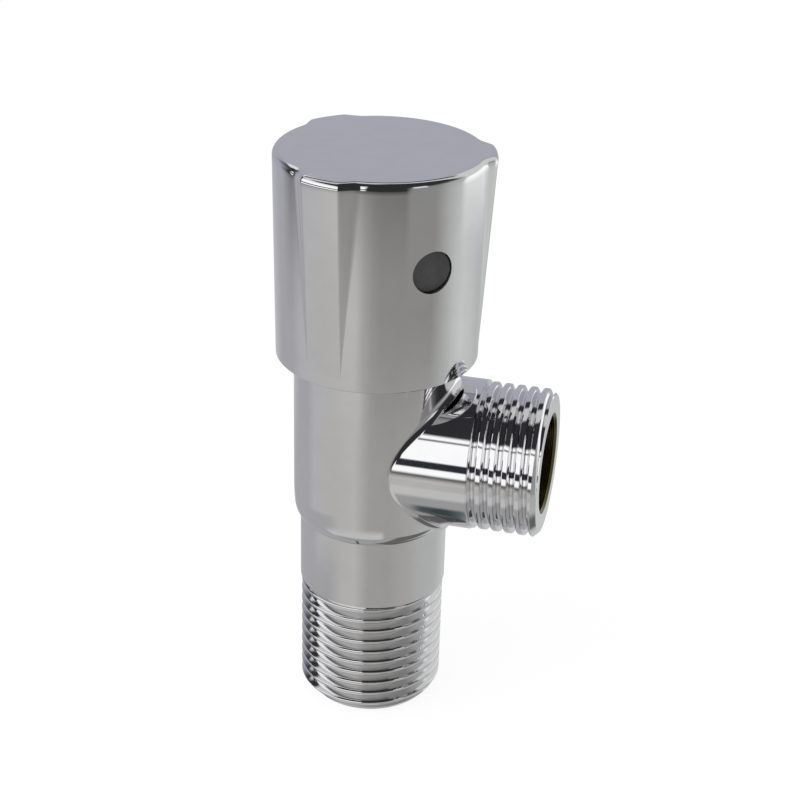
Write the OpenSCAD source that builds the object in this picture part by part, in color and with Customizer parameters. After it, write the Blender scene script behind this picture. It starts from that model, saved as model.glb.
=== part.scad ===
// Angle valve with a quarter-turn ceramic cartridge.
// The inlet thread points down and the outlet thread points along +X.
// The origin is the centre of the inlet's end face, and +Z runs up through the handle.

/* [Pipe threads] */
// Major diameter of both pipe threads
thread_d = 20.955; // [19:0.005:22]
// Length of the inlet thread
inlet_thread_len = 19; // [14:0.1:24]
// Length of the outlet thread
outlet_thread_len = 9.7; // [7:0.1:10]
// Radial depth of the lead at the end of each thread
thread_lead = 1.4; // [0.4:0.1:1.8]

/* [Body] */
// Outer diameter of the body
body_d = 23.2; // [22.8:0.1:25]
// Diameter of the plain neck between the inlet thread and the body
neck_d = 21.3; // [20:0.1:22]
// Height at which the neck meets the rounded shoulder of the body
neck_top = 29.5; // [27:0.1:30]
// Height of the rounded shoulder
shoulder_h = 1.6; // [1.2:0.1:5]
// Bore of the inlet waterway
inlet_bore_d = 13.6; // [11:0.1:14.5]
// Bore of the seat under the cartridge
seat_port_d = 9.8; // [8:0.1:10]
// Thickness of the web that carries the seat
seat_web = 2.4; // [1.5:0.1:3.5]
// How far the top of the body reaches up into the handle
body_lap = 2.9; // [1.5:0.1:3.5]
// How far the seat lies below the outlet's bore
seat_drop = 0.55; // [0.3:0.05:1]

/* [Outlet] */
// Height of the outlet's axis above the inlet's end
outlet_z = 40.8; // [40:0.1:42]
// Distance from the valve's axis to the outlet's end face
outlet_reach = 25.1; // [22:0.1:32]
// Diameter of the plain boss behind the outlet thread
boss_d = 21.3; // [19:0.1:22]
// Bore of the outlet waterway
outlet_bore_d = 13.7; // [11:0.1:14.2]

/* [Handle] */
// Height of the handle's lower rim above the inlet's end
rim_z = 55.1; // [54.5:0.1:60]
// Height of the handle
handle_h = 29.4; // [27.5:0.1:36]
// Radial gap between the body and the inside of the handle
skirt_gap = 0.6; // [0.3:0.05:1]
// Wall of the handle at its rim
handle_wall = 1.9; // [1.3:0.01:2.6]
// How much wider the round part of the handle is at the top than at the rim
handle_flare = 0.6; // [0:0.1:2]
// Number of lobes that the fingers turn
lobe_count = 3; // [2:1:4]
// How far a lobe stands out of the round part at the top
lobe_rise = 1.2; // [0.6:0.1:2.2]
// Height above the rim at which the lobes fade into the round part
lobe_fade = 2; // [1:0.1:8]
// Angle that the outer face of a lobe spans
lobe_face = 21; // [10:1:30]
// Angle that each flank of a lobe spans at the top
lobe_flank = 8; // [4:1:14]
// Angle of the first lobe, counted from the outlet
lobe_angle = 14; // [-40:1:60]
// Thickness of the handle's roof
handle_roof = 2.2; // [1.5:0.1:3]
// Rounding of the handle's top edge
edge_round = 0.8; // [0.3:0.1:1]
// Outer diameter of the hub inside the handle
hub_d = 14; // [12:0.1:16]
// Thickness of the webs between the hub and the wall
web_t = 1.6; // [1:0.1:2.5]

/* [Indicator and screw] */
// Diameter of the indicator plug
plug_d = 5.8; // [5.4:0.1:7]
// Thickness of the indicator plug
plug_t = 1.6; // [1:0.1:1.8]
// How far the plug's face lies below the handle's surface
plug_sink = 0.25; // [0.1:0.05:0.6]
// Height of the plug's centre and of the screw's axis above the hub's lower face
plug_lift = 3.6; // [3.2:0.1:6]
// Diameter of the grub screw
screw_d = 5; // [4:0.5:5]
// Length of the grub screw
screw_len = 6; // [5:0.1:6.5]
// Diameter of the screw's dog point
dog_d = 3.2; // [2.4:0.1:3.6]
// Width of the screw's hexagon socket
screw_socket = 2.5; // [2:0.1:2.6]

/* [Cartridge] */
// Diameter of the cartridge's thread and of the chamber in the body
cart_thread_d = 18; // [17.5:0.1:18.4]
// Radial width of the water's ring-shaped way around the cartridge's sleeve
annulus = 1.1; // [0.8:0.1:1.3]
// Wall of the cartridge's sleeve
sleeve_wall = 0.9; // [0.6:0.1:1.1]
// Thickness of each ceramic disc
disc_t = 3; // [2.5:0.1:3.2]
// Height of the windows in the sleeve
window_h = 5; // [4:0.1:6]
// Width of the windows in the sleeve
window_w = 8.4; // [6:0.1:10]
// Thickness of the seat seal
seal_t = 1.8; // [1.5:0.1:2.4]
// How far the seat seal stands out below the sleeve
seal_squeeze = 0.6; // [0.3:0.1:0.9]
// Radial width of the seal's support ring
support_w = 0.5; // [0.3:0.05:0.6]
// How far the cartridge's flange reaches over the top of the body
flange_lap = 1.7; // [1:0.1:2]
// Thickness of the cartridge's flange
flange_t = 1.2; // [0.8:0.1:1.6]
// Thickness of the gasket below the flange
gasket_t = 0.8; // [0.5:0.1:1.2]
// Width across the flats of the cartridge's hexagon
hex_af = 17; // [16:0.5:19]
// Height of the cartridge's hexagon
hex_h = 4; // [3:0.1:4.5]

/* [Spindle] */
// Diameter of the spindle's stem
stem_d = 8.8; // [8.6:0.1:9.4]
// How much smaller the splines are than the stem, in radius
spline_step = 0.3; // [0.2:0.05:0.6]
// Depth of the splines
spline_depth = 0.45; // [0.3:0.05:0.6]
// Number of splines
spline_count = 20; // [12:1:24]
// Thickness of the spindle's collar
collar_t = 1.5; // [1:0.1:2]
// Thickness of the thrust washer
washer_t = 0.6; // [0.4:0.1:1]
// Height at which the lower sealing ring sits above the collar's washer
ring_rise = 2.2; // [1.6:0.1:2.6]
// Distance between the two sealing rings
ring_pitch = 4; // [3:0.1:5]
// Width of the bar that drives the moving disc
bar_w = 3.4; // [2.5:0.1:3.8]
// How deep the bar reaches into the moving disc
bar_bite = 1.2; // [0.8:0.1:1.6]
// Diameter of the cord of the stem's sealing rings
ring_cord = 1.1; // [0.8:0.05:1.2]
// Depth of engagement between the splines and the hub
hub_grip = 10.6; // [9:0.1:11.5]

/* [Quarter turn] */
// Angle from closed to open
turn = 90; // [60:1:100]
// Angle that the stop ring's tab spans
tab_span = 38; // [25:1:50]
// Height of the stops on top of the cartridge
stop_h = 1.5; // [1:0.1:2]
// Thickness of the stop ring
stop_ring_t = 1.2; // [0.8:0.1:1.5]
// Thickness of the spindle's snap ring
clip_t = 0.8; // [0.6:0.1:1]

/* [Fits] */
// Radial gap between pieces that are fixed to each other
fit = 0.03; // [0.02:0.01:0.06]
// Radial gap of the turning stem in its bore
run = 0.05; // [0.03:0.01:0.1]
// Gap between faces that slide on each other
film = 0.05; // [0.02:0.01:0.1]
// Radial gap of the discs and the collar in the sleeve
disc_gap = 0.1; // [0.05:0.01:0.2]
// Angle left between the tab and each stop
stop_gap = 0.5; // [0.2:0.1:1]

/* [Hidden] */
$fn = 96;
cut = 1;

// Radii that several pieces share
thread_r = thread_d / 2;
body_r = body_d / 2;
neck_r = neck_d / 2;
port_r = seat_port_d / 2;
chamber_r = cart_thread_d / 2;
sleeve_r = chamber_r - annulus;
cavity_r = sleeve_r - sleeve_wall;
disc_r = cavity_r - disc_gap;
flange_r = chamber_r + flange_lap;
stem_r = stem_d / 2;
spline_r = stem_r - spline_step;
spline_root_r = spline_r - spline_depth;
skirt_r = body_r + skirt_gap;
rim_r = skirt_r + handle_wall;
hub_r = hub_d / 2;
screw_r = screw_d / 2;
plug_r = plug_d / 2;

// Heights of the cartridge's stack, from the seat up
window_lift = 0.4;
collar_lift = 0.2;
thread_lift = 0.6;
seat_z = outlet_z - outlet_bore_d / 2 - seat_drop;
sleeve_z = seat_z + seal_squeeze;
fixed_z = seat_z + seal_t;
moving_z = fixed_z + disc_t + film;
moving_top = moving_z + disc_t;
window_z = moving_top + window_lift;
collar_z = window_z + window_h + collar_lift;
washer_z = collar_z + collar_t + film;
ceiling_z = washer_z + washer_t + film;
cart_thread_z = ceiling_z + thread_lift;

// Heights of what stands on the body's top
body_top = rim_z + body_lap;
flange_z = body_top + gasket_t;
hex_z = flange_z + flange_t;
hex_top = hex_z + hex_h;
stop_top = hex_top + stop_h;
stop_ring_z = stop_top + film;
clip_z = stop_ring_z + stop_ring_t + film;
hub_lift = 0.7;
hub_z = clip_z + clip_t + hub_lift;
spindle_top = hub_z + hub_grip;
hub_ceiling = spindle_top + hub_lift;
stem_top = hex_top - hub_lift / 2;

// Shape of the shoulder, an arc that leaves the body's side without a crease
shoulder_lap = 0.5;
shoulder_step = body_r - neck_r;
shoulder_arc = (pow(shoulder_h, 2) + pow(shoulder_step, 2)) / (2 * shoulder_step);

// Sealing rings of the stem
groove_r = stem_r - ring_cord;
ring_r = groove_r + ring_cord / 2 + fit;
groove_h = 1.4 * ring_cord;
lower_ring_z = ceiling_z + ring_rise;
upper_ring_z = lower_ring_z + ring_pitch;

// Stops on top of the cartridge
stop_inset = 1.7;
tab_inset = 0.3;
stop_in_r = stem_r + run + tab_inset;
stop_out_r = hex_af / 2 - stop_inset;
notch_span = turn + tab_span + 2 * stop_gap;

// Openings in the discs, two opposite sectors each
disc_port_r = 1.9;
disc_port_span = 76;
bar_fit = 0.1;

// Handle
handle_top = rim_z + handle_h;
top_r = rim_r + handle_flare / 2;
lobe_top_r = top_r + lobe_rise;
fade_r = rim_r + (top_r - rim_r) * lobe_fade / handle_h;
lobe_low_r = fade_r - (lobe_top_r - fade_r) * lobe_fade / (handle_h - lobe_fade);
roof_z = handle_top - handle_roof;
plug_z = hub_z + plug_lift;
plug_angle = lobe_angle - 180 / lobe_count;
panel_r = rim_r + (top_r - rim_r) * (plug_z - rim_z) / handle_h;
plug_face = sqrt(pow(panel_r, 2) - pow(plug_r, 2)) - plug_sink;
plug_back = plug_face - plug_t;
boss_wall = 1.5;
boss_r = plug_r + boss_wall;
wall_bite = handle_wall / 2;
plug_stem = 1;
dog_len = 1.4;
groove_floor_r = spline_root_r - 0.15;
screw_tip = groove_floor_r + fit;
clip_out_r = stem_r + 0.8;
clip_span = 320;

// A ring with square edges, from height z up
module ring(outer, inner, z, h) {
    translate([0, 0, z]) difference() {
        cylinder(r = outer, h = h);
        translate([0, 0, -cut]) cylinder(r = inner, h = h + 2 * cut);
    }
}

// A piece of a ring that spans an angle
module arc_block(outer, inner, z, h, start, span) {
    translate([0, 0, z]) rotate([0, 0, start]) rotate_extrude(angle = span)
        translate([inner, 0]) square([outer - inner, h]);
}

// A sealing ring of round cord
module cord_ring(centre_r, cord_r, z) {
    translate([0, 0, z]) rotate_extrude() translate([centre_r, 0]) circle(r = cord_r);
}

// Outline of the splines, grown by a gap where it is a hole
module spline_outline(gap) {
    step = 360 / spline_count;
    tip = spline_r + gap;
    root = spline_root_r + gap;
    polygon([for (i = [0 : spline_count - 1], corner = [[tip, 0], [tip, 0.3], [root, 0.5], [root, 0.8]])
        let (a = (i + corner[1]) * step) [corner[0] * cos(a), corner[0] * sin(a)]]);
}

// The two openings of a ceramic disc, which face a direction and its opposite
module disc_ports(z, direction) {
    for (side = [0, 180])
        arc_block(port_r, disc_port_r, z - cut, disc_t + 2 * cut,
            direction + side - disc_port_span / 2, disc_port_span);
}

// Half profile of the body: thread, neck, rounded shoulder and upper part
module body_profile() {
    polygon([[0, 0], [thread_r - thread_lead, 0], [thread_r, thread_lead * 1.2],
        [thread_r, inlet_thread_len], [neck_r, inlet_thread_len], [neck_r, neck_top + shoulder_lap],
        [0, neck_top + shoulder_lap]]);
    intersection() {
        translate([0, neck_top - shoulder_lap]) square([body_r, shoulder_h + shoulder_lap]);
        translate([body_r - shoulder_arc, neck_top + shoulder_h]) circle(r = shoulder_arc);
    }
    translate([0, neck_top + shoulder_h]) square([body_r, body_top - neck_top - shoulder_h]);
}

// Half profile of the outlet, with its length along Y
module outlet_profile() {
    thread_start = outlet_reach - outlet_thread_len;
    polygon([[0, 0], [boss_d / 2, 0], [boss_d / 2, thread_start], [thread_r, thread_start],
        [thread_r, outlet_reach - thread_lead / 2], [thread_r - thread_lead / 2, outlet_reach],
        [0, outlet_reach]]);
}

module valve_body() {
    color([0.80, 0.80, 0.81]) difference() {
        union() {
            rotate_extrude() body_profile();
            translate([0, 0, outlet_z]) rotate([0, 90, 0]) rotate_extrude() outlet_profile();
        }
        translate([0, 0, -cut]) cylinder(d = inlet_bore_d, h = seat_z - seat_web + cut);
        translate([0, 0, seat_z - seat_web - cut]) cylinder(d = seat_port_d, h = seat_web + 2 * cut);
        translate([0, 0, seat_z]) cylinder(r = chamber_r, h = body_top - seat_z + cut);
        translate([chamber_r / 2, 0, outlet_z]) rotate([0, 90, 0])
            cylinder(d = outlet_bore_d, h = outlet_reach);
    }
}

module bonnet_gasket() {
    color([0.12, 0.12, 0.12]) ring(flange_r, chamber_r, body_top, gasket_t);
}

// Half profile of the cartridge's outside
module housing_profile() {
    translate([0, sleeve_z]) square([sleeve_r, flange_z - sleeve_z]);
    translate([0, cart_thread_z]) square([chamber_r - fit, flange_z - cart_thread_z]);
    translate([0, flange_z]) square([flange_r, flange_t]);
}

module cartridge_housing() {
    color([0.78, 0.62, 0.34]) difference() {
        union() {
            rotate_extrude() housing_profile();
            translate([0, 0, hex_z]) cylinder(d = hex_af / cos(30), h = hex_h, $fn = 6);
            arc_block(stop_out_r, stop_in_r, hex_top - cut, stop_h + cut,
                tab_span / 2 + turn + stop_gap, 360 - notch_span);
        }
        translate([0, 0, sleeve_z - cut]) cylinder(r = cavity_r, h = ceiling_z - sleeve_z + cut);
        cylinder(r = stem_r + run, h = handle_top);
        translate([-body_d, -window_w / 2, window_z]) cube([2 * body_d, window_w, window_h]);
    }
}

module seat_seal() {
    color([0.10, 0.10, 0.10])
        ring(disc_r, port_r + support_w + fit, seat_z, seal_t);
}

module seal_support_ring() {
    color([0.72, 0.73, 0.75])
        ring(port_r + support_w, port_r, seat_z, seal_t);
}

module fixed_disc() {
    color([0.93, 0.92, 0.89]) difference() {
        translate([0, 0, fixed_z]) cylinder(r = disc_r, h = disc_t);
        disc_ports(fixed_z, 0);
    }
}

module moving_disc() {
    color([0.93, 0.92, 0.89]) difference() {
        translate([0, 0, moving_z]) cylinder(r = disc_r, h = disc_t);
        disc_ports(moving_z, 90);
        translate([-body_r, -bar_w / 2 - bar_fit, moving_top - bar_bite - bar_fit])
            cube([body_d, bar_w + 2 * bar_fit, bar_bite + cut]);
    }
}

// Half profile of the spindle's turned faces, with its grooves
module spindle_profile() {
    difference() {
        union() {
            translate([0, collar_z]) square([disc_r, collar_t]);
            translate([0, collar_z]) square([stem_r, stem_top - collar_z]);
        }
        for (z = [lower_ring_z, upper_ring_z])
            translate([groove_r, z - groove_h / 2]) square([stem_r, groove_h]);
    }
}

// The flat bar below the collar, which reaches into the moving disc
module driving_bar() {
    low = moving_top - bar_bite;
    intersection() {
        translate([0, 0, low]) cylinder(r = disc_r, h = collar_z - low + cut);
        translate([-body_r, -bar_w / 2, low]) cube([body_d, bar_w, collar_z - low + cut]);
    }
}

module spindle() {
    color([0.80, 0.65, 0.38]) difference() {
        union() {
            rotate_extrude() spindle_profile();
            translate([0, 0, stem_top - cut]) linear_extrude(height = spindle_top - stem_top + cut)
                spline_outline(0);
            driving_bar();
        }
        ring(stem_r + cut, groove_floor_r, clip_z - film, clip_t + 2 * film);
        ring(stem_r + cut, groove_floor_r, plug_z - dog_d / 2 - fit, dog_d + 2 * fit);
    }
}

module lower_stem_ring() {
    color([0.10, 0.10, 0.10]) cord_ring(ring_r, ring_cord / 2, lower_ring_z);
}

module upper_stem_ring() {
    color([0.10, 0.10, 0.10]) cord_ring(ring_r, ring_cord / 2, upper_ring_z);
}

module thrust_washer() {
    color([0.88, 0.88, 0.84]) ring(disc_r, stem_r + run, washer_z, washer_t);
}

module stop_ring() {
    color([0.82, 0.68, 0.40]) difference() {
        union() {
            translate([0, 0, stop_ring_z]) cylinder(r = stop_out_r, h = stop_ring_t);
            arc_block(stop_out_r - tab_inset, stop_in_r, hex_top + film,
                stop_ring_z - hex_top - film + stop_ring_t / 2, -tab_span / 2, tab_span);
        }
        translate([0, 0, hex_top]) linear_extrude(height = stop_h + 2 * stop_ring_t) spline_outline(fit);
    }
}

module spindle_circlip() {
    color([0.70, 0.71, 0.73])
        arc_block(clip_out_r, groove_floor_r + fit, clip_z, clip_t, -clip_span / 2, clip_span);
}

// Half profile of a round part of the handle that flares from the rim, with a rounded top edge
module handle_profile(low_r, high_r) {
    slope = (high_r - low_r) / handle_h;
    secant = sqrt(1 + pow(slope, 2));
    centre_z = handle_h - edge_round;
    centre_r = low_r + slope * centre_z - edge_round * secant;
    polygon([[0, 0], [low_r, 0],
        [centre_r + edge_round / secant, centre_z - edge_round * slope / secant],
        [centre_r, centre_z], [centre_r, handle_h], [0, handle_h]]);
    translate([centre_r, centre_z]) circle(r = edge_round);
}

// The half space under a lobe's flank, which leans so that the flank fades out with the lobe
module flank_side() {
    face = lobe_face / 2;
    foot = lobe_face / 2 + lobe_flank;
    crest_top = [lobe_top_r * cos(face), lobe_top_r * sin(face), handle_h];
    crest_low = [fade_r * cos(face), fade_r * sin(face), lobe_fade];
    foot_top = [top_r * cos(foot), top_r * sin(foot), handle_h];
    n = cross(crest_low - crest_top, foot_top - crest_top);
    lean = asin(n[2] / norm(n));
    turned = atan2(n[1], n[0]);
    reach = 3 * handle_h;
    translate(crest_top) rotate([0, -lean, turned]) translate([-reach, -reach / 2, -reach / 2])
        cube(reach);
}

module lobe() {
    intersection() {
        rotate_extrude() handle_profile(lobe_low_r, lobe_top_r);
        flank_side();
        mirror([0, 1, 0]) flank_side();
        translate([hub_r, -rim_r, 0]) cube([rim_r, 2 * rim_r, handle_h]);
    }
}

module handle_outside() {
    rotate_extrude() handle_profile(rim_r, top_r);
    for (i = [0 : lobe_count - 1]) rotate([0, 0, lobe_angle + i * 360 / lobe_count]) lobe();
}

// The hub, its webs and the boss of the screw, inside the handle
module handle_core() {
    reach = skirt_r + wall_bite - hub_r / 2;
    boss_drop = skirt_r - sqrt(pow(skirt_r, 2) - pow(boss_r, 2));
    translate([0, 0, hub_z]) cylinder(r = hub_r, h = roof_z - hub_z + cut);
    for (i = [0 : lobe_count - 1]) rotate([0, 0, lobe_angle + i * 360 / lobe_count])
        translate([hub_r / 2, -web_t / 2, plug_z])
            cube([reach, web_t, roof_z - plug_z + cut]);
    intersection() {
        rotate([0, 0, plug_angle]) translate([hub_r / 2, 0, plug_z]) rotate([0, 90, 0])
            cylinder(r = boss_r, h = reach - boss_drop / 2);
        translate([-rim_r, -rim_r, hub_z]) cube(2 * rim_r);
    }
}

module handle() {
    color([0.80, 0.80, 0.81]) difference() {
        union() {
            difference() {
                translate([0, 0, rim_z]) handle_outside();
                translate([0, 0, rim_z - cut]) cylinder(r = skirt_r, h = roof_z - rim_z + cut);
            }
            handle_core();
        }
        translate([0, 0, hub_z - cut]) linear_extrude(height = hub_ceiling - hub_z + cut) spline_outline(fit);
        rotate([0, 0, plug_angle]) translate([0, 0, plug_z]) rotate([0, 90, 0]) {
            cylinder(r = screw_r + fit, h = plug_face);
            translate([0, 0, plug_back - fit]) cylinder(r = plug_r + fit, h = rim_r);
        }
    }
}

module grub_screw() {
    color([0.45, 0.46, 0.48])
        rotate([0, 0, plug_angle]) translate([screw_tip, 0, plug_z]) rotate([0, 90, 0]) difference() {
            union() {
                cylinder(d = dog_d, h = dog_len);
                translate([0, 0, dog_len]) cylinder(r = screw_r, h = screw_len - dog_len);
            }
            translate([0, 0, screw_len / 2]) cylinder(d = screw_socket / cos(30), h = screw_len, $fn = 6);
        }
}

module indicator_plug() {
    color([0.27, 0.27, 0.28]) rotate([0, 0, plug_angle]) translate([0, 0, plug_z]) rotate([0, 90, 0]) {
        translate([0, 0, plug_back]) cylinder(r = plug_r, h = plug_t);
        translate([0, 0, plug_back - plug_stem])
            cylinder(r = screw_r - fit, h = plug_stem + plug_t / 2);
    }
}

valve_body();
bonnet_gasket();
cartridge_housing();
seat_seal();
seal_support_ring();
fixed_disc();
moving_disc();
spindle();
lower_stem_ring();
upper_stem_ring();
thrust_washer();
stop_ring();
spindle_circlip();
handle();
grub_screw();
indicator_plug();
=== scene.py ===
"""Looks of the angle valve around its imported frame: threads, chrome, studio and camera."""
import math

import bmesh
import bpy
from mathutils import Matrix, Vector
from mathutils.bvhtree import BVHTree
from mathutils.interpolate import poly_3d_calc


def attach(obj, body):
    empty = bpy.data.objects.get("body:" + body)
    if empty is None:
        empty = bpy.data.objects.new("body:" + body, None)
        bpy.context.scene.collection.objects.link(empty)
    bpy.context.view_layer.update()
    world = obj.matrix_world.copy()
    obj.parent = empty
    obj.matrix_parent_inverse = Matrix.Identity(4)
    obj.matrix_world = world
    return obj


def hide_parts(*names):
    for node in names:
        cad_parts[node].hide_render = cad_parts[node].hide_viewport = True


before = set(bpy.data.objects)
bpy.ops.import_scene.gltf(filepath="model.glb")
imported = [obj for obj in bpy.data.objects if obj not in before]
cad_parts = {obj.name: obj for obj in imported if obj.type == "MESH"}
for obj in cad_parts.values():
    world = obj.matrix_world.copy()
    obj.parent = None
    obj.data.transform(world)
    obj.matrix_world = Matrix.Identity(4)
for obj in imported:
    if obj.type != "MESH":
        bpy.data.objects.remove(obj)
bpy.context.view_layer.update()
scene = bpy.context.scene
MM = 0.001

# Pipe threads, G 1/2
THREAD_R = 10.4775 * MM
PITCH = 1.8143 * MM
FLANK_SLOPE = math.tan(math.radians(27.5))
# A form is the thread's depth, the width of its root and the rounding of its crest
INLET_FORM = (1.15 * MM, 0.2 * MM, 0.09 * MM)
OUTLET_FORM = (0.8 * MM, 0.22 * MM, 0.12 * MM)
INLET_LEN = 19 * MM
# A lead is the depth and the length of the cone at the thread's end
INLET_LEAD = (1.4 * MM, 1.68 * MM)
OUTLET_LEAD = (0.7 * MM, 0.7 * MM)
INLET_LAP = 0.4 * MM
OUTLET_LAP = 0.3 * MM
INLET_PHASE = 1.445 * MM
OUTLET_PHASE = 0.35 * MM

# Body
BODY_R = 11.6 * MM
NECK_R = 10.65 * MM
NECK_TOP = 29.5 * MM
SHOULDER_TOP = 31.3 * MM
TAPER_TOP = 34.4 * MM
TAPER_ARC = 40 * MM
BODY_TOP = 58 * MM
BODY_EDGE = 0.2 * MM
SEAT_Z = 33.4 * MM
SEAT_WEB = 2.4 * MM
INLET_BORE_R = 6.8 * MM
SEAT_PORT_R = 4.9 * MM
CHAMBER_R = 9 * MM
OUTLET_Z = 40.8 * MM
OUTLET_REACH = 25.1 * MM
OUTLET_THREAD_X = 15.4 * MM
BOSS_START = 2 * MM
BOSS_R = 10.65 * MM
BOSS_FILLET = 1.2 * MM
SIDE_FILLET = 1.5 * MM
FILLET_LAP = 0.1 * MM
FILLET_SINK = 0.5 * MM
OUTLET_BORE_R = 6.85 * MM
MOUTH = 0.35 * MM

# Handle
RIM_Z = 55.1 * MM
HANDLE_H = 29.4 * MM
RIM_R = 14.1 * MM
TOP_R = 14.4 * MM
LOBE_TOP_R = 15.6 * MM
LOBE_FADE = 2 * MM
LOBE_COUNT = 3
LOBE_FACE = 21
LOBE_FLANK = 8
LOBE_ANGLE = 14
TOP_ROUND = 1.0 * MM
CREST_CORNER = 0.45 * MM
FOOT_CORNER = 0.7 * MM
RIM_CHAMFER = 0.12 * MM
LOW_RINGS = (0.8 * MM, 1.4 * MM)
TOP_INSET = 0.1 * MM
SKIRT_R = 12.2 * MM
ROOF = 2.2 * MM
ROOF_Z = RIM_Z + HANDLE_H - ROOF
HUB_R = 7 * MM
HUB_Z = 68.3 * MM
HUB_CEILING = 79.6 * MM
WEB_T = 1.6 * MM
ROOF_LAP = 0.4 * MM
BOSS_LAP = 0.5 * MM
WEB_LAP = 0.8 * MM

# Indicator plug and the screw behind it
PLUG_R = 2.9 * MM
PLUG_T = 1.6 * MM
PLUG_Z = 71.9 * MM
PLUG_SINK = 0.25 * MM
PANEL_R = RIM_R + (TOP_R - RIM_R) * (PLUG_Z - RIM_Z) / HANDLE_H
PLUG_FACE = math.sqrt(PANEL_R ** 2 - PLUG_R ** 2) - PLUG_SINK
PLUG_ANGLE = LOBE_ANGLE - 180 / LOBE_COUNT
PLUG_BEVEL = 0.32 * MM
BEVEL_HEIGHT = 0.6 * PLUG_BEVEL
PLUG_STEM = 1 * MM
SCREW_R = 2.5 * MM
BOSS_WALL = 1.5 * MM
FIT = 0.03 * MM
SPLINES = 20
SPLINE_R = 4.1 * MM
SPLINE_ROOT_R = 3.65 * MM

# The camera of the photograph: angles in degrees, lengths in metres
CAM_TURN = 13.244
CAM_RISE = 26.878
CAM_ROLL = 1.565
CAM_SHIFT = (3.368 * MM, -1.868 * MM)
CAM_AIM_Z = 49.2 * MM
CAM_DISTANCE = 243.944 * MM
CAM_LENS = 77.80

# Lamp and floor
AMBIENT = 0.72
KEY_POWER = 1.6
KEY_SIZE = (0.6, 0.5)
KEY_PLACE = (-0.35, -0.35, 0.6)
KEY_AIM = (0, 0, 0.04)
FLOOR_RINGS = (0.02, 0.05, 0.12, 0.4, 1.2)
FLOOR_SIDES = 48
FLOOR_DROP = 0.02 * MM
FLOOR_GLOW = 0.85
FLOOR_STRENGTH = 1.06

# Studio that gloss reflects

# Angles in degrees: turn goes round from the camera's side, and rise goes up from the horizon
# Each ring has its brightness by turn
UPPER_RING = [(-180, 0.56), (-166, 0.58), (-133, 0.43), (-108, 0.43), (-95, 0.50), (-40, 0.57), (-23, 0.57),
              (-14, 0.43), (-5, 0.35), (4, 0.31), (62, 0.30), (69, 0.36), (81, 0.48), (93, 0.60),
              (107, 0.68), (124, 0.63), (149, 0.52), (180, 0.56)]
LOWER_RING = [(-180, 0.54), (-151, 0.43), (-108, 0.44), (-94, 0.51), (-60, 0.51), (-28, 0.54), (-16, 0.46),
              (-6, 0.40), (24, 0.38), (34, 0.40), (61, 0.44), (77, 0.48), (117, 0.51), (151, 0.62),
              (180, 0.54)]
WALL_RING = [(-180, 0.444), (-125, 0.42), (-108, 0.03), (-6, 0.03), (28, 0.03), (34, 0.27), (62, 0.29),
             (80, 0.45), (100, 0.55), (125, 0.50), (140, 0.42), (180, 0.444)]
# Each window has its left, right and softness, its bottom, top and softness, and its brightness
WINDOWS = [
    ((-104, -14, 2), (-15, 45, 2.5), 1.18),
    ((36, 52, 2), (10, 30, 3), 0.75),
    ((100, 150, 5), (-20, 4, 3), 1.15),
    ((100, 150, 5), (5, 47, 3), 0.7),
    ((-165, -128, 3), (33, 46, 2), 0.85),
]
# Each bar has its bottom, top, softness and share
BARS = [(-5, 6, 1.5, 1.0), (36.5, 39.5, 1.0, 0.8)]
BAR_TURN = (-104, -10, 2)
BAR_COLOUR = (0.03, 0.03, 0.04)
CEILING_COLOUR = (0.03, 0.03, 0.034)
STRIP_COLOUR = (0.65, 0.65, 0.65)
LOW_LEFT_COLOUR = (0.42, 0.42, 0.43)
GLARE_HIGH = (0.60, 0.60, 0.60)
GLARE_LOW = (0.375, 0.375, 0.37)
SHADE_COLOUR = (0.14, 0.14, 0.14)
UNDER_COLOUR = (0.44, 0.44, 0.45)
BELOW_COLOUR = (0.045, 0.065, 0.07)


# Meshes

def new_object(name, verts, faces):
    mesh = bpy.data.meshes.new(name)
    mesh.from_pydata(verts, [], faces)
    mesh.validate()
    ob = bpy.data.objects.new(name, mesh)
    scene.collection.objects.link(ob)
    for polygon in mesh.polygons:
        polygon.use_smooth = True
    return ob


def outward(ob):
    """Turns the faces of a closed mesh outwards."""
    bm = bmesh.new()
    bm.from_mesh(ob.data)
    bmesh.ops.remove_doubles(bm, verts=bm.verts, dist=1e-8)
    bmesh.ops.recalc_face_normals(bm, faces=bm.faces)
    bm.to_mesh(ob.data)
    bm.free()
    return ob


def loft(name, rows, low_tip=None, high_tip=None):
    """A closed solid through rings of points, each end closed on a tip."""
    count = len(rows[0])
    verts = [p for row in rows for p in row]
    faces = []
    for j in range(len(rows) - 1):
        for i in range(count):
            a, b = j * count + i, j * count + (i + 1) % count
            faces.append((a, b, b + count, a + count))
    for tip, start in ((low_tip, 0), (high_tip, (len(rows) - 1) * count)):
        verts.append(tip)
        for i in range(count):
            faces.append((start + i, start + (i + 1) % count, len(verts) - 1))
    return outward(new_object(name, verts, faces))


def lathe(name, profile, segments=256):
    """A solid of revolution about Z from (radius, height) points between two points on the axis."""
    turns = [2 * math.pi * i / segments for i in range(segments)]
    rows = [[(r * math.cos(t), r * math.sin(t), z) for t in turns] for r, z in profile[1:-1]]
    return loft(name, rows, (0, 0, profile[0][1]), (0, 0, profile[-1][1]))


def cylinder(name, radius, low, high, segments=192):
    return lathe(name, [(0, low), (radius, low), (radius, high), (0, high)], segments)


def block(name, low, high):
    rows = [[(x, y, z) for x, y in ((low[0], low[1]), (high[0], low[1]), (high[0], high[1]),
             (low[0], high[1]))] for z in (low[2], high[2])]
    faces = [(0, 1, 5, 4), (1, 2, 6, 5), (2, 3, 7, 6), (3, 0, 4, 7), (3, 2, 1, 0), (4, 5, 6, 7)]
    return outward(new_object(name, [p for row in rows for p in row], faces))


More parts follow.
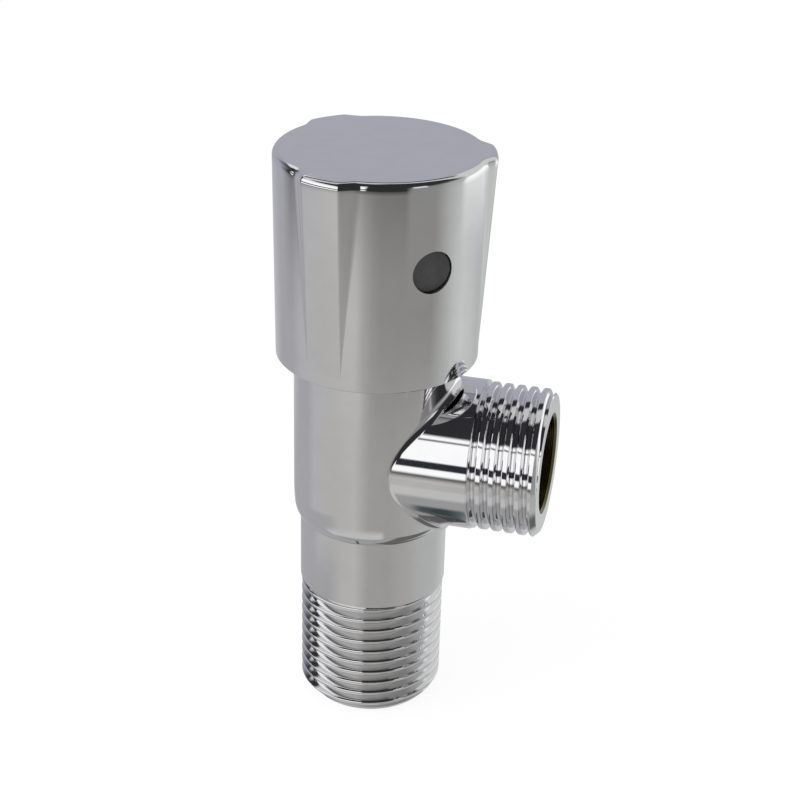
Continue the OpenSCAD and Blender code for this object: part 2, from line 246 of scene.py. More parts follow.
def prism(name, outline, low, high):
    rows = [[(x, y, z) for x, y in outline] for z in (low, high)]
    return loft(name, rows, (0, 0, low), (0, 0, high))


def arc_points(centre, radius, start, end, steps):
    """Points of an arc in a profile, by angles in degrees."""
    angles = [math.radians(start + (end - start) * i / steps) for i in range(steps + 1)]
    return [(centre[0] + radius * math.cos(a), centre[1] + radius * math.sin(a)) for a in angles]


def move(ob, matrix):
    ob.data.transform(matrix)
    return ob


def along_x(ob, height):
    return move(ob, Matrix.Translation((0, 0, height)) @ Matrix.Rotation(math.pi / 2, 4, "Y"))


def along_plug(ob):
    turn = Matrix.Rotation(math.radians(PLUG_ANGLE), 4, "Z") @ Matrix.Rotation(math.pi / 2, 4, "Y")
    return move(ob, Matrix.Translation((0, 0, PLUG_Z)) @ turn)


def thread_rod(name, length, phase, form, segments=144):
    """A rod with a right-hand thread, longer than needed at both ends."""
    depth, root, soft = form
    root_r = THREAD_R - depth
    flank = depth * FLANK_SLOPE
    crest = PITCH - root - 2 * flank
    start = root / 2
    shape = [(-start, root_r), (start, root_r)]
    rise = start + flank
    shape += [(rise - soft * 0.7, THREAD_R - soft * 1.3), (rise - soft * 0.1, THREAD_R - soft * 0.45),
              (rise + soft * 0.6, THREAD_R - soft * 0.05), (rise + soft * 1.3, THREAD_R)]
    shape += [(rise + crest - soft * 1.3, THREAD_R), (rise + crest - soft * 0.6, THREAD_R - soft * 0.05),
              (rise + crest + soft * 0.1, THREAD_R - soft * 0.45),
              (rise + crest + soft * 0.7, THREAD_R - soft * 1.3)]
    turns = int(length / PITCH) + 4
    rows = []
    for k in range(turns):
        for offset, radius in shape:
            rows.append((radius, phase + (k - 2) * PITCH + offset))
    verts = []
    for radius, height in rows:
        for i in range(segments):
            t = 2 * math.pi * i / segments
            verts.append((radius * math.cos(t), radius * math.sin(t), height + PITCH * i / segments))
    count, last = len(shape), segments - 1
    faces = []
    for j in range(len(rows) - 1):
        for i in range(last):
            a = j * segments + i
            faces.append((a, a + 1, a + 1 + segments, a + segments))
        if j + count + 1 < len(rows):
            a, b = j * segments + last, (j + count) * segments
            faces.append((a, b, b + segments, a + segments))
    low = list(range(segments)) + [j * segments for j in range(count, 0, -1)]
    top = (len(rows) - 1) * segments
    high = [top + i for i in range(segments)]
    high += [(len(rows) - 1 - j) * segments + last for j in range(1, count + 1)]
    for ring, height in ((low, rows[0][1] - PITCH), (high, rows[-1][1] + 2 * PITCH)):
        verts.append((0, 0, height))
        for a, b in zip(ring, ring[1:] + ring[:1]):
            faces.append((a, b, len(verts) - 1))
    return outward(new_object(name, verts, faces))


# Booleans, and normals taken from the surfaces that the solids were made of

def boolean(a, b, operation, keep=False):
    """Changes solid a by solid b."""
    modifier = a.modifiers.new("cut", "BOOLEAN")
    modifier.object, modifier.operation, modifier.solver = b, operation, "MANIFOLD"
    evaluated = a.evaluated_get(bpy.context.evaluated_depsgraph_get())
    mesh = bpy.data.meshes.new_from_object(evaluated)
    a.modifiers.clear()
    old, a.data = a.data, mesh
    bpy.data.meshes.remove(old)
    if not keep:
        bpy.data.objects.remove(b)
    return a


class Surface:
    """A surface with exact smooth normals, which faces of a finished solid are matched to."""

    def __init__(self, ob, material, smooth=25):
        mesh = ob.data.copy()
        mesh.set_sharp_from_angle(angle=math.radians(smooth))
        mesh.calc_loop_triangles()
        self.material = material
        self.points = [v.co.copy() for v in mesh.vertices]
        self.triangles = [tuple(t.vertices) for t in mesh.loop_triangles]
        normals = [Vector(n.vector) for n in mesh.corner_normals]
        self.normals = [tuple(normals[k] for k in t.loops) for t in mesh.loop_triangles]
        self.tree = BVHTree.FromPolygons(self.points, self.triangles, all_triangles=True)

    def move(self, matrix):
        turn = matrix.to_3x3()
        self.points = [matrix @ point for point in self.points]
        self.normals = [tuple(turn @ n for n in three) for three in self.normals]
        self.tree = BVHTree.FromPolygons(self.points, self.triangles, all_triangles=True)

    def distance(self, point, normal):
        place, flat, index, gap = self.tree.find_nearest(point, 4e-6)
        if index is None or abs(flat.dot(normal)) < 0.97:
            return None
        return gap

    def normal_at(self, point, normal):
        place, flat, index, gap = self.tree.find_nearest(point, 2e-5)
        if index is None:
            return normal
        corners = [self.points[v] for v in self.triangles[index]]
        weights = poly_3d_calc(corners, place)
        found = sum((n * w for n, w in zip(self.normals[index], weights)), Vector()).normalized()
        if found.dot(normal) < 0:
            found = -found
        return found if found.dot(normal) > 0.8 else normal


def dress(ob, surfaces, materials):
    """Gives each face of a solid the material and the smooth normals of the surface it lies on."""
    mesh = ob.data
    mesh.materials.clear()
    for material in materials:
        mesh.materials.append(material)
    normals = [None] * len(mesh.loops)
    for polygon in mesh.polygons:
        polygon.use_smooth = True
        centre, flat = polygon.center.copy(), polygon.normal.copy()
        best = None
        for surface in surfaces:
            gap = surface.distance(centre, flat)
            if gap is not None and (best is None or gap < best[0]):
                best = (gap, surface)
        polygon.material_index = best[1].material if best else 0
        for k in polygon.loop_indices:
            corner = mesh.vertices[mesh.loops[k].vertex_index].co
            inner = corner.lerp(centre, 0.002)
            normals[k] = best[1].normal_at(inner, flat) if best else flat
    mesh.normals_split_custom_set(normals)
    return ob


# Materials

class Tree:
    """Short calls for the nodes of a material or of the world."""

    def __init__(self, tree):
        self.tree = tree
        tree.nodes.clear()

    def add(self, kind, inputs=(), **settings):
        node = self.tree.nodes.new(kind)
        for name, value in settings.items():
            setattr(node, name, value)
        for name, value in dict(inputs).items():
            self.put(node.inputs[name], value)
        return node

    def put(self, socket, value):
        if isinstance(value, bpy.types.NodeSocket):
            self.tree.links.new(value, socket)
        else:
            socket.default_value = value

    def math(self, operation, *values, clamp=False):
        node = self.add("ShaderNodeMath", operation=operation, use_clamp=clamp)
        for socket, value in zip(node.inputs, values):
            self.put(socket, value)
        return node.outputs[0]

    def smooth(self, value, low, high, at_low=0.0, at_high=1.0):
        """Goes from at_low to at_high without a kink while value goes from low to high."""
        node = self.add("ShaderNodeMapRange", interpolation_type="SMOOTHSTEP")
        for socket, given in zip(node.inputs, (value, low, high, at_low, at_high)):
            self.put(socket, given)
        return node.outputs[0]

    def band(self, value, low, high, soft):
        """1 between low and high, 0 outside."""
        rise = self.smooth(value, low - soft, low + soft)
        return self.math("MULTIPLY", rise, self.smooth(value, high - soft, high + soft, 1.0, 0.0))

    def ramp(self, value, stops):
        node = self.add("ShaderNodeValToRGB", {"Fac": value})
        elements = node.color_ramp.elements
        while len(elements) < len(stops):
            elements.new(1.0)
        for element, (place, colour) in zip(elements, stops):
            element.position = place
            element.color = (*colour, 1) if len(colour) == 3 else colour
        return node.outputs["Color"]

    def mix(self, share, a, b):
        node = self.add("ShaderNodeMix", data_type="RGBA")
        for socket, value in ((node.inputs[0], share), (node.inputs[6], a), (node.inputs[7], b)):
            if isinstance(value, tuple) and len(value) == 3:
                value = (*value, 1)
            self.put(socket, value)
        return node.outputs[2]

    def noise(self, place, scale, detail=2.0):
        return self.add("ShaderNodeTexNoise", {"Vector": place, "Scale": scale, "Detail": detail}).outputs[0]


def new_material(name):
    material = bpy.data.materials.new(name)
    material.use_nodes = True
    tree = Tree(material.node_tree)
    place = tree.add("ShaderNodeTexCoord").outputs["Object"]
    shader = tree.add("ShaderNodeBsdfPrincipled")
    out = tree.add("ShaderNodeOutputMaterial")
    tree.put(out.inputs["Surface"], shader.outputs[0])
    return material, tree, place, shader


def finish_material(tree, shader, colour, roughness, height, depth, metallic=0.0):
    """Puts colour, roughness and relief, whose full height is depth metres, on the shader."""
    tree.put(shader.inputs["Base Color"], colour)
    tree.put(shader.inputs["Roughness"], roughness)
    shader.inputs["Metallic"].default_value = metallic
    bump = tree.add("ShaderNodeBump", {"Height": height, "Distance": depth, "Strength": 1.0})
    tree.put(shader.inputs["Normal"], bump.outputs[0])


def chrome(name, wave_depth):
    """Polished chrome: slight waves left by polishing, and faint stains."""
    material, tree, place, shader = new_material(name)
    waves = tree.noise(place, 90, 1.0)
    stains = tree.noise(place, 420, 3.0)
    colour = tree.ramp(stains, [(0.3, (0.79, 0.79, 0.80)), (0.7, (0.82, 0.82, 0.83))])
    roughness = tree.smooth(stains, 0.3, 0.75, 0.03, 0.07)
    finish_material(tree, shader, colour, roughness, waves, wave_depth, 1.0)
    return material


def brass(name, axis, dark, light):
    """Bare turned brass: fine rings round an axis, and a darker tone where it has tarnished."""
    material, tree, place, shader = new_material(name)
    rings = tree.add("ShaderNodeTexWave", {"Vector": place, "Scale": 1100, "Distortion": 0.6,
                     "Detail": 1.0}, bands_direction=axis)
    tarnish = tree.noise(place, 260, 4.0)
    colour = tree.ramp(tarnish, [(0.3, dark), (0.7, light)])
    roughness = tree.smooth(tarnish, 0.25, 0.75, 0.22, 0.42)
    finish_material(tree, shader, colour, roughness, rings.outputs["Fac"], 8e-6, 1.0)
    return material


def ceramic():
    """Lapped alumina: off-white, with a fine grain."""
    material, tree, place, shader = new_material("ceramic")
    grain = tree.noise(place, 2600, 3.0)
    colour = tree.ramp(grain, [(0.35, (0.80, 0.78, 0.73)), (0.65, (0.88, 0.87, 0.83))])
    finish_material(tree, shader, colour, tree.smooth(grain, 0.3, 0.7, 0.12, 0.24), grain, 2e-6)
    return material


def rubber():
    """Black rubber with a matt, slightly uneven skin."""
    material, tree, place, shader = new_material("seal_rubber")
    skin = tree.noise(place, 1500, 4.0)
    colour = tree.ramp(skin, [(0.3, (0.008, 0.008, 0.008)), (0.7, (0.018, 0.018, 0.018))])
    finish_material(tree, shader, colour, tree.smooth(skin, 0.3, 0.7, 0.5, 0.68), skin, 1.2e-5)
    return material


def plastic(name, dark, light, rough):
    """Moulded plastic with a fine texture."""
    material, tree, place, shader = new_material(name)
    texture = tree.noise(place, 3200, 2.0)
    cloud = tree.noise(place, 500, 2.0)
    colour = tree.ramp(cloud, [(0.3, dark), (0.7, light)])
    finish_material(tree, shader, colour, tree.smooth(texture, 0.3, 0.7, *rough), texture, 5e-6)
    return material


def steel():
    """Plain steel with fine marks along the ring."""
    material, tree, place, shader = new_material("steel")
    stretch = tree.add("ShaderNodeMapping", {"Vector": place, "Scale": (0.3, 0.3, 4.0)}).outputs[0]
    marks = tree.noise(stretch, 1400, 4.0)
    colour = tree.ramp(marks, [(0.3, (0.29, 0.30, 0.32)), (0.7, (0.38, 0.39, 0.41))])
    finish_material(tree, shader, colour, tree.smooth(marks, 0.3, 0.7, 0.22, 0.38), marks, 5e-6, 1.0)
    return material


# Body

def thread_piece(name, length, phase, form, lead, lap):
    """A threaded length with a cone at its end and a soft start where it joins the plain part."""
    depth, run = lead
    rod = thread_rod(name, length, phase, form)
    shell = lathe("shell", [(0, 0), (THREAD_R - depth, 0), (THREAD_R, run), (THREAD_R, length),
                            (THREAD_R - lap, length + lap), (0, length + lap)], 288)
    faces = [Surface(rod, 0), Surface(shell, 0)]
    return boolean(rod, shell, "INTERSECT"), faces


def boss_fillet():
    """The ring that rounds the corner between the boss and the body: a ball rolled along both.

    The ball is larger at the sides, where the two meet at a flat angle.
    """
    steps, around = 20, 288
    rows = []
    for i in range(around):
        t = 2 * math.pi * i / around
        side, up = math.sin(t), math.cos(t)
        ball = BOSS_FILLET + (SIDE_FILLET - BOSS_FILLET) * side ** 2
        y, z = (BOSS_R + ball) * side, (BOSS_R + ball) * up
        centre = Vector((math.sqrt((BODY_R + ball) ** 2 - y ** 2), y, z))
        low = -Vector((centre.x, centre.y, 0)).normalized()
        high = Vector((0, -side, -up))
        arc = [centre + low.slerp(high, k / steps) * ball for k in range(steps + 1)]
        corner = Vector((math.sqrt(BODY_R ** 2 - (BOSS_R * side) ** 2), BOSS_R * side, BOSS_R * up))
        inner = corner + (corner - centre).normalized() * FILLET_SINK
        rows.append(arc + [arc[-1] + high * FILLET_LAP, inner, arc[0] + low * FILLET_LAP])
    count = len(rows[0])
    verts = [p + Vector((0, 0, OUTLET_Z)) for row in rows for p in row]
    faces = []
    for i in range(around):
        for k in range(count):
            a, b = i * count, (i + 1) % around * count
            faces.append((a + k, a + (k + 1) % count, b + (k + 1) % count, b + k))
    return outward(new_object("fillet", verts, faces))


def shoulder_profile():
    """From the neck up: a rounding, then a long slight curve that runs out into the body's side."""
    lean = math.asin((TAPER_TOP - SHOULDER_TOP) / TAPER_ARC)
    taper = arc_points((BODY_R - TAPER_ARC, TAPER_TOP), TAPER_ARC, -math.degrees(lean), 0, 16)
    start = Vector(taper[0])
    inward = Vector((-math.cos(lean), math.sin(lean)))
    chord = Vector((NECK_R, NECK_TOP)) - start
    radius = chord.length_squared / (2 * chord.dot(inward))
    centre = start + inward * radius
    low = Vector((NECK_R, NECK_TOP)) - centre
    foot = math.degrees(math.atan2(low.y, low.x))
    return arc_points(centre, radius, foot, -math.degrees(lean), 24) + taper[1:]


def make_body(materials):
    shoulder = shoulder_profile()
    main = lathe("body", [(0, INLET_LEN), (NECK_R, INLET_LEN), *shoulder,
                          (BODY_R, BODY_TOP - BODY_EDGE), (BODY_R - BODY_EDGE, BODY_TOP), (0, BODY_TOP)], 288)
    boss = along_x(lathe("boss", [(0, BOSS_START), (BOSS_R, BOSS_START), (BOSS_R, OUTLET_THREAD_X),
                                  (0, OUTLET_THREAD_X)], 256), OUTLET_Z)
    inlet, inlet_faces = thread_piece("inlet", INLET_LEN, INLET_PHASE, INLET_FORM, INLET_LEAD,
                                        INLET_LAP)
    outlet_len = OUTLET_REACH - OUTLET_THREAD_X
    outlet, outlet_faces = thread_piece("outlet", outlet_len, OUTLET_PHASE, OUTLET_FORM, OUTLET_LEAD,
                                        OUTLET_LAP)
    place = Matrix.Translation((OUTLET_REACH, 0, OUTLET_Z)) @ Matrix.Rotation(-math.pi / 2, 4, "Y")
    move(outlet, place)
    fillet = boss_fillet()
    outer = [Surface(main, 0), Surface(boss, 0), Surface(fillet, 0), *inlet_faces]
    for face in outlet_faces:
        face.move(place)
    outer += outlet_faces
    for piece in (boss, fillet, inlet, outlet):
        boolean(main, piece, "UNION")
    cuts = [
        lathe("inlet_bore", [(0, -MM), (INLET_BORE_R + MOUTH + MM, -MM), (INLET_BORE_R, MOUTH),
                             (INLET_BORE_R, SEAT_Z - SEAT_WEB), (0, SEAT_Z - SEAT_WEB)]),
        cylinder("seat_port", SEAT_PORT_R, SEAT_Z - SEAT_WEB - MM, SEAT_Z + MM),
        cylinder("chamber", CHAMBER_R, SEAT_Z, BODY_TOP + MM),
        along_x(lathe("outlet_bore", [(0, CHAMBER_R / 2), (OUTLET_BORE_R, CHAMBER_R / 2),
                                      (OUTLET_BORE_R, OUTLET_REACH - MOUTH),
                                      (OUTLET_BORE_R + MOUTH + MM, OUTLET_REACH + MM),
                                      (0, OUTLET_REACH + MM)]), OUTLET_Z),
    ]
    inner = [Surface(cut, 2 if cut.name.startswith("outlet") else 1) for cut in cuts]
    for cut in cuts:
        boolean(main, cut, "DIFFERENCE")
    main.name = "body_dressed"
    dress(main, outer + inner, materials)
    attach(main, "valve")
    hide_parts("valve_body")
    return main


# Handle

def section(height):
    """Outline of the handle's outside at a height above its rim: round panels between three lobes."""
    share = height / HANDLE_H
    round_r = RIM_R + (TOP_R - RIM_R) * share
    fade_r = RIM_R + (TOP_R - RIM_R) * LOBE_FADE / HANDLE_H
    low_r = fade_r - (LOBE_TOP_R - fade_r) * LOBE_FADE / (HANDLE_H - LOBE_FADE)
    lobe_r = low_r + (LOBE_TOP_R - low_r) * share
    face, foot = math.radians(LOBE_FACE / 2), math.radians(LOBE_FACE / 2 + LOBE_FLANK)
    crest_top = Vector((LOBE_TOP_R * math.cos(face), LOBE_TOP_R * math.sin(face)))
    foot_top = Vector((TOP_R * math.cos(foot), TOP_R * math.sin(foot)))
    along = (foot_top - crest_top).normalized()
    half = math.pi / LOBE_COUNT
    stand = max(lobe_r - round_r, 0.002 * MM)
    crest = Vector(((round_r + stand) * math.cos(face), (round_r + stand) * math.sin(face)))
    b = crest.dot(along)
    reach = -b - math.sqrt(max(b * b - crest.length_squared + round_r ** 2, 0))
    foot_point = crest + along * reach
    foot_angle = math.atan2(foot_point.y, foot_point.x)
    crest_cut = min(CREST_CORNER, 0.4 * reach)
    foot_cut = min(FOOT_CORNER, 0.5 * reach)

    def on(radius, angle):
        return Vector((radius * math.cos(angle), radius * math.sin(angle)))

    def corner(a, peak, b, steps):
        return [a * (1 - t) ** 2 + peak * 2 * t * (1 - t) + b * t * t
                for t in (k / steps for k in range(1, steps))]

    crest_from = face - crest_cut / (round_r + stand)
    foot_to = foot_angle + foot_cut / round_r
    side = [on(round_r + stand, crest_from * k / 12) for k in range(13)]
    side += corner(side[-1], crest, crest + along * crest_cut, 8)
    low = foot_point - along * foot_cut
    high = crest + along * crest_cut
    side += [high.lerp(low, k / 5) for k in range(6)]
    end = on(round_r, foot_to)
    side += corner(low, foot_point, end, 8)
    side += [on(round_r, foot_to + (half - foot_to) * k / 28) for k in range(29)]
    mirrored = [Vector((p.x, -p.y)) for p in side[1:-1]]
    one = list(reversed(mirrored)) + side
    outline = []
    for lobe in range(LOBE_COUNT):
        turn = Matrix.Rotation(math.radians(LOBE_ANGLE) + 2 * half * lobe, 2)
        outline += [turn @ p for p in one]
    return outline


def inset(outline, amount):
    count = len(outline)
    moved = []
    for i, p in enumerate(outline):
        tangent = (outline[(i + 1) % count] - outline[i - 1]).normalized()
        moved.append(p - Vector((tangent.y, -tangent.x)) * amount)
    return moved


def handle_shell():
    rows = [(inset(section(0), RIM_CHAMFER), 0)]
    heights = [RIM_CHAMFER, *LOW_RINGS]
    heights += [LOBE_FADE + k * (HANDLE_H - TOP_ROUND - LOBE_FADE) / 44 for k in range(45)]
    rows += [(section(h), h) for h in heights]
    for k in range(1, 13):
        a = math.pi / 2 * k / 12
        h = HANDLE_H - TOP_ROUND + TOP_ROUND * math.sin(a)
        rows.append((inset(section(h), TOP_ROUND * (1 - math.cos(a))), h))
    rows.append((inset(section(HANDLE_H), TOP_ROUND + TOP_INSET), HANDLE_H))
    rings = [[(p.x, p.y, RIM_Z + h) for p in outline] for outline, h in rows]
    return loft("handle_dressed", rings, (0, 0, RIM_Z), (0, 0, RIM_Z + HANDLE_H))


def make_handle(materials):
    shell = handle_shell()
    surfaces = [Surface(shell, 0)]
    top = ROOF_Z + ROOF_LAP
    cavity = cylinder("cavity", SKIRT_R, RIM_Z - MM, ROOF_Z)
    surfaces.append(Surface(cavity, 0))
    boolean(shell, cavity, "DIFFERENCE")
    boss_r = PLUG_R + BOSS_WALL
    boss = along_plug(cylinder("screw_boss", boss_r, HUB_R / 2, SKIRT_R + BOSS_LAP, 96))
    floor = block("above", (-0.02, -0.02, HUB_Z), (0.02, 0.02, top))
    boolean(boss, floor, "INTERSECT")
    parts = [cylinder("hub", HUB_R, HUB_Z, top), boss]
    for lobe in range(LOBE_COUNT):
        web = block("web", (HUB_R / 2, -WEB_T / 2, PLUG_Z), (SKIRT_R + WEB_LAP, WEB_T / 2, top))
        parts.append(move(web, Matrix.Rotation(math.radians(LOBE_ANGLE + 360 * lobe / LOBE_COUNT), 4, "Z")))
    for part in parts:
        surfaces.append(Surface(part, 0))
        boolean(shell, part, "UNION")
    teeth = []
    for i in range(SPLINES):
        for radius, share in ((SPLINE_R, 0), (SPLINE_R, 0.3), (SPLINE_ROOT_R, 0.5), (SPLINE_ROOT_R, 0.8)):
            t = 2 * math.pi * (i + share) / SPLINES
            teeth.append(((radius + FIT) * math.cos(t), (radius + FIT) * math.sin(t)))
    cuts = [
        prism("spline_hole", teeth, HUB_Z - MM, HUB_CEILING),
        along_plug(cylinder("screw_hole", SCREW_R + FIT, 0, PLUG_FACE, 96)),
        along_plug(cylinder("plug_hole", PLUG_R + FIT, PLUG_FACE - PLUG_T - FIT, RIM_R + 2 * MM, 128)),
    ]
    for cut in cuts:
        surfaces.append(Surface(cut, 0))
        boolean(shell, cut, "DIFFERENCE")
    dress(shell, surfaces, materials)
    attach(shell, "turning_set")
    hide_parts("handle")
    return shell


def make_plug(material):
    back = PLUG_FACE - PLUG_T
    low = PLUG_FACE - BEVEL_HEIGHT
    edge = arc_points((PLUG_R - PLUG_BEVEL, low), PLUG_BEVEL, 0, 90, 8)
    edge = [(r, low + (z - low) * BEVEL_HEIGHT / PLUG_BEVEL) for r, z in edge]
    plug = lathe("plug_dressed", [(0, back - PLUG_STEM), (SCREW_R - FIT, back - PLUG_STEM),
                                  (SCREW_R - FIT, back), (PLUG_R, back), *edge,
                                  (PLUG_R * 0.5, PLUG_FACE), (0, PLUG_FACE)], 128)
    along_plug(plug)
    plug.data.set_sharp_from_angle(angle=math.radians(30))
    plug.data.materials.append(material)
    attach(plug, "turning_set")
    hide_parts("indicator_plug")
    return plug


# Inner pieces, which keep their solids

def dress_inner():
    bare = brass("cartridge_brass", "Z", (0.42, 0.30, 0.11), (0.62, 0.47, 0.20))
    worn = {
        "cartridge_housing": bare, "spindle": bare, "stop_ring": bare,
        "fixed_disc": ceramic(), "seat_seal": rubber(), "seal_support_ring": steel(),
        "thrust_washer": plastic("low_friction_plastic", (0.70, 0.70, 0.64), (0.78, 0.78, 0.73), (0.4, 0.55)),
    }
    worn["moving_disc"] = worn["fixed_disc"]
    for name in ("bonnet_gasket", "lower_stem_ring", "upper_stem_ring"):
        worn[name] = worn["seat_seal"]
    for name in ("spindle_circlip", "grub_screw"):
        worn[name] = worn["seal_support_ring"]
    for name, material in worn.items():
        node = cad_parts[name]
        if not node.material_slots:
            node.data.materials.append(None)
        for slot in node.material_slots:
            slot.link = "OBJECT"
            slot.material = material


# Studio

def sky_angles(tree):
    """The direction of a ray: its x, turn, rise and lift, and how far it goes across the view."""
    towards = tree.add("ShaderNodeTexCoord").outputs["Generated"]
    x, y, z = tree.add("ShaderNodeSeparateXYZ", {"Vector": towards}).outputs
    azimuth = tree.math("MULTIPLY", tree.math("ARCTAN2", y, x), 180 / math.pi)
    turn = tree.math("WRAP", tree.math("ADD", azimuth, 90 - CAM_TURN), 180.0, -180.0)
    rise = tree.math("MULTIPLY", tree.math("ARCSINE", z), 180 / math.pi)
    level = tree.math("COSINE", tree.math("RADIANS", rise))
    front = tree.math("MULTIPLY", tree.math("COSINE", tree.math("RADIANS", turn)), level)
    across = tree.math("MULTIPLY", tree.math("SINE", tree.math("RADIANS", turn)), level)
    lift = tree.math("MULTIPLY", tree.math("ARCTAN2", z, front), 180 / math.pi)
    return x, turn, rise, lift, across


def room_tint(angle):
    if angle < -60 or angle > 160:
        return (1.0, 1.0, 1.04)
    return (1.0, 0.985, 0.95) if angle < 75 else (0.985, 1.0, 0.985)


def wall_tint(angle):
    return (1.0, 1.0, 1.15) if angle < -115 or angle > 130 else (1.0, 1.0, 1.0)


def ring(tree, turn, stops, tint):
    share = tree.math("DIVIDE", tree.math("ADD", turn, 180.0), 360.0)
    return tree.ramp(share, [((a + 180) / 360, tuple(v * t for t in tint(a))) for a, v in stops])


def add_room(tree, turn, rise):
    """The floor's two rings, the wall's ring above them, and the dark ceiling."""
    upper = ring(tree, turn, UPPER_RING, room_tint)
    lower = ring(tree, turn, LOWER_RING, room_tint)
    floor = tree.mix(tree.smooth(rise, -30.0, -25.0), lower, upper)
    low_left = tree.math("MULTIPLY", tree.smooth(rise, -31.4, -33.0), tree.band(turn, -112, -60, 12))
    floor = tree.mix(low_left, floor, LOW_LEFT_COLOUR)
    wall = ring(tree, turn, WALL_RING, wall_tint)
    colour = tree.mix(tree.smooth(rise, -25.5, -14.5), floor, wall)
    away = tree.math("ABSOLUTE", turn)
    dark = tree.math("MULTIPLY", tree.smooth(rise, 5.0, 33.0), tree.smooth(away, 150.0, 130.0))
    colour = tree.mix(dark, colour, CEILING_COLOUR)
    return tree.mix(tree.smooth(rise, 46.0, 52.0), colour, CEILING_COLOUR)


def add_windows(tree, turn, rise, colour):
    """Bright windows, with dark bars across the large one on the left."""
    for (left, right, side), (bottom, top, soft), level in WINDOWS:
        share = tree.math("MULTIPLY", tree.band(turn, left, right, side), tree.band(rise, bottom, top, soft))
        colour = tree.mix(share, colour, (level, level, level))
    bars = 0.0
    for bottom, top, soft, strength in BARS:
        bar = tree.math("MULTIPLY", tree.band(rise, bottom, top, soft), strength)
        bars = tree.math("MAXIMUM", bars, bar)
    bars = tree.math("MULTIPLY", bars, tree.band(turn, *BAR_TURN))
    return tree.mix(bars, colour, BAR_COLOUR)


def add_strip(tree, rise, lift, across, colour):
    """A grey strip over the top, behind the zenith as seen from the camera."""
    first = tree.smooth(across, -0.05, 0.08, 92.0, 101.0)
    strip = tree.math("MULTIPLY", tree.smooth(tree.math("SUBTRACT", lift, first), -3.0, 3.0),
                      tree.smooth(lift, 113.0, 119.0, 1.0, 0.0))
    strip = tree.math("MULTIPLY", strip, tree.smooth(rise, 20.0, 40.0))
    return tree.mix(strip, colour, STRIP_COLOUR)


def add_low_fields(tree, x, turn, rise, colour):
    """Fields that only faces leaning down reflect: a glare in front, and darker ones around it."""
    near = tree.math("MULTIPLY", tree.smooth(rise, -36.0, -40.0), tree.band(turn, -75.0, 16.0, 4.0))
    glare = tree.mix(tree.smooth(rise, -50.0, -58.0), GLARE_HIGH, GLARE_LOW)
    colour = tree.mix(near, colour, glare)
    shade = tree.math("MULTIPLY", tree.smooth(rise, -44.0, -52.0), tree.band(turn, 40.0, 125.0, 10.0))
    colour = tree.mix(shade, colour, SHADE_COLOUR)
    away = tree.math("ABSOLUTE", turn)
    under = tree.math("MULTIPLY", tree.smooth(rise, -50.0, -60.0), tree.smooth(away, 125.0, 140.0))
    colour = tree.mix(under, colour, UNDER_COLOUR)
    below = tree.math("MULTIPLY", tree.smooth(rise, -68.0, -75.0), tree.band(x, -0.188, -0.158, 0.006))
    return tree.mix(below, colour, BELOW_COLOUR)


def make_world():
    """White for the camera, a plain grey for matt surfaces, and the studio for gloss."""
    world = bpy.data.worlds.new("studio")
    scene.world = world
    world.use_nodes = True
    tree = Tree(world.node_tree)
    x, turn, rise, lift, across = sky_angles(tree)
    colour = add_room(tree, turn, rise)
    colour = add_windows(tree, turn, rise, colour)
    colour = add_strip(tree, rise, lift, across, colour)
    colour = add_low_fields(tree, x, turn, rise, colour)
    path = tree.add("ShaderNodeLightPath").outputs
    gloss = tree.math("MAXIMUM", path["Is Glossy Ray"], path["Is Transmission Ray"])
    colour = tree.mix(gloss, (AMBIENT, AMBIENT, AMBIENT), colour)
    colour = tree.mix(path["Is Camera Ray"], colour, (1.0, 1.0, 1.0))
    background = tree.add("ShaderNodeBackground", {"Color": colour, "Strength": 1.0})
    out = tree.add("ShaderNodeOutputWorld")
    tree.put(out.inputs["Surface"], background.outputs[0])


def floor_mesh():
    """A round floor, finer near the object."""
    verts, faces = [(0, 0, 0)], []
    for radius in FLOOR_RINGS:
        for i in range(FLOOR_SIDES):
            t = 2 * math.pi * i / FLOOR_SIDES
            verts.append((radius * math.cos(t), radius * math.sin(t), 0))
    for i in range(FLOOR_SIDES):
        following = (i + 1) % FLOOR_SIDES
        faces.append((0, 1 + i, 1 + following))
        for j in range(len(FLOOR_RINGS) - 1):
            a, b = 1 + j * FLOOR_SIDES + i, 1 + j * FLOOR_SIDES + following
            faces.append((a, a + FLOOR_SIDES, b + FLOOR_SIDES, b))
    return new_object("floor", verts, faces)


def floor_paper():
    """Pale paper, mixed with a white glow that only the camera sees, so that a soft shadow stays."""
    material = bpy.data.materials.new("floor")
    material.use_nodes = True
    tree = Tree(material.node_tree)
    place = tree.add("ShaderNodeTexCoord").outputs["Object"]
    paper = tree.ramp(tree.noise(place, 30, 3.0), [(0.3, (0.86, 0.86, 0.86)), (0.7, (0.88, 0.88, 0.88))])
    matt = tree.add("ShaderNodeBsdfDiffuse", {"Color": paper})
    glow = tree.add("ShaderNodeEmission", {"Color": (1, 1, 1, 1), "Strength": FLOOR_STRENGTH})
    camera_ray = tree.add("ShaderNodeLightPath").outputs["Is Camera Ray"]
    share = tree.math("MULTIPLY", camera_ray, FLOOR_GLOW)
    blend = tree.add("ShaderNodeMixShader", {"Fac": share})
    tree.put(blend.inputs[1], matt.outputs[0])
    tree.put(blend.inputs[2], glow.outputs[0])
    out = tree.add("ShaderNodeOutputMaterial")
    tree.put(out.inputs["Surface"], blend.outputs[0])
    return material


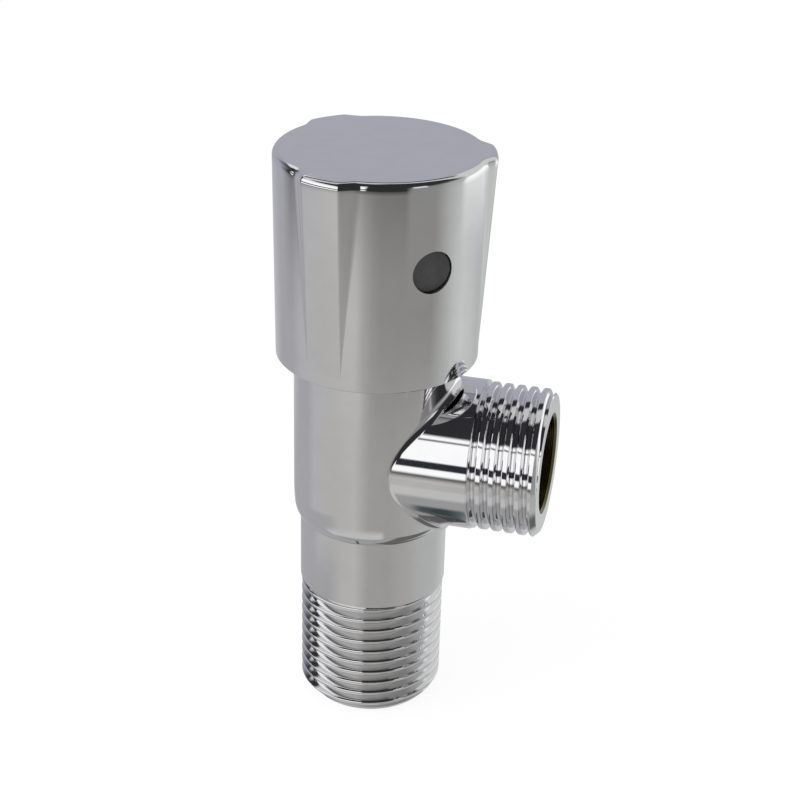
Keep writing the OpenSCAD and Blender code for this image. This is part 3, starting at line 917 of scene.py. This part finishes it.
def make_floor():
    """The floor lies a hair below the foot and doesn't show in the chrome."""
    floor = floor_mesh()
    floor.location.z = -FLOOR_DROP
    floor.data.materials.append(floor_paper())
    floor.visible_glossy = False


def make_lamp():
    """One large soft lamp, high on the left."""
    data = bpy.data.lights.new("key", "AREA")
    data.shape = "RECTANGLE"
    data.size, data.size_y = KEY_SIZE
    data.energy = KEY_POWER
    lamp = bpy.data.objects.new("key", data)
    scene.collection.objects.link(lamp)
    lamp.location = KEY_PLACE
    lamp.rotation_mode = "QUATERNION"
    lamp.rotation_quaternion = (Vector(KEY_AIM) - lamp.location).to_track_quat("-Z", "Y")
    lamp.visible_glossy = False


def make_camera():
    turn, rise, roll = (math.radians(v) for v in (CAM_TURN, CAM_RISE, CAM_ROLL))
    back = Vector((math.sin(turn) * math.cos(rise), -math.cos(turn) * math.cos(rise), math.sin(rise)))
    right = Vector((math.cos(turn), math.sin(turn), 0))
    up = back.cross(right)
    x_axis = right * math.cos(roll) + up * math.sin(roll)
    y_axis = up * math.cos(roll) - right * math.sin(roll)
    aim = x_axis * CAM_SHIFT[0] + y_axis * CAM_SHIFT[1] + Vector((0, 0, CAM_AIM_Z))
    data = bpy.data.cameras.new("camera")
    data.lens, data.sensor_width, data.sensor_fit = CAM_LENS, 36, "HORIZONTAL"
    data.clip_start, data.clip_end = 0.01, 10
    camera = bpy.data.objects.new("camera", data)
    scene.collection.objects.link(camera)
    pose = Matrix((x_axis, y_axis, back)).transposed().to_4x4()
    pose.translation = aim + back * CAM_DISTANCE
    camera.matrix_world = pose
    scene.camera = camera


scene.view_settings.view_transform = "Standard"
bore_z = brass("bore_brass_inlet", "Z", (0.09, 0.075, 0.03), (0.20, 0.16, 0.07))
bore_x = brass("bore_brass_outlet", "X", (0.09, 0.075, 0.03), (0.20, 0.16, 0.07))
make_body([chrome("chrome_body", 1.2e-5), bore_z, bore_x])
make_handle([chrome("chrome_handle", 1.2e-5)])
make_plug(plastic("indicator_plastic", (0.050, 0.050, 0.052), (0.066, 0.066, 0.068), (0.38, 0.5)))
dress_inner()
make_world()
make_floor()
make_lamp()
make_camera()
